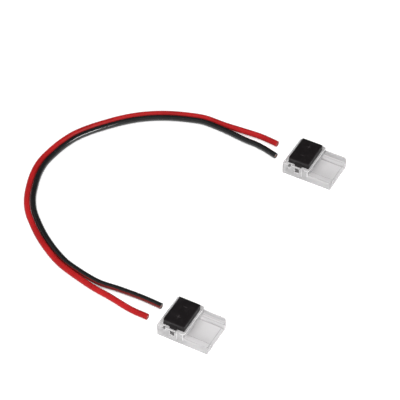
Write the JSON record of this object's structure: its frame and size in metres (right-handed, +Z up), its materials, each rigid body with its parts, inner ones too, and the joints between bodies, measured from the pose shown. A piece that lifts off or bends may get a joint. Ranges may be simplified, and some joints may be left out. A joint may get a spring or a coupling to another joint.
{
  "type": "led strip connector",
  "caption": "Solderless jumper for an LED strip: clear push-fit strip clips with black press caps, and a loose red and black twin wire with bare cut ends.",
  "frame": {"origin": "centre of the underside of the box round both clips, on the surface they lie on; the loose twin wire is left out", "axes": "+X from the wire holes to the strip mouth of each clip, +Y from clip A to clip B, +Z up from the surface to the press caps"},
  "size_m": [0.085, 0.0886, 0.006],
  "materials": {
    "clear_housing": "clear injection-moulded polycarbonate, polished",
    "black_cap": "black moulded plastic, satin",
    "tinned_contact": "tinned stamped bronze",
    "red_insulation": "red extruded vinyl insulation, glossy",
    "black_insulation": "black extruded vinyl insulation, glossy"
  },
  "bodies": {
    "set": {"housing_a": "clear_housing", "housing_b": "clear_housing", "red_wire": "red_insulation", "black_wire": "black_insulation"},
    "press_a": {"cap_a": "black_cap", "contact_a_plus": "tinned_contact", "contact_a_minus": "tinned_contact"},
    "press_b": {"cap_b": "black_cap", "contact_b_plus": "tinned_contact", "contact_b_minus": "tinned_contact"}
  },
  "joints": [
    {"name": "cap_a_press", "type": "slide", "parent": "set", "child": "press_a", "axis": [0, 0, -1], "range_m": [0, 0.0015]},
    {"name": "cap_b_press", "type": "slide", "parent": "set", "child": "press_b", "axis": [0, 0, -1], "range_m": [0, 0.0015]}
  ]
}
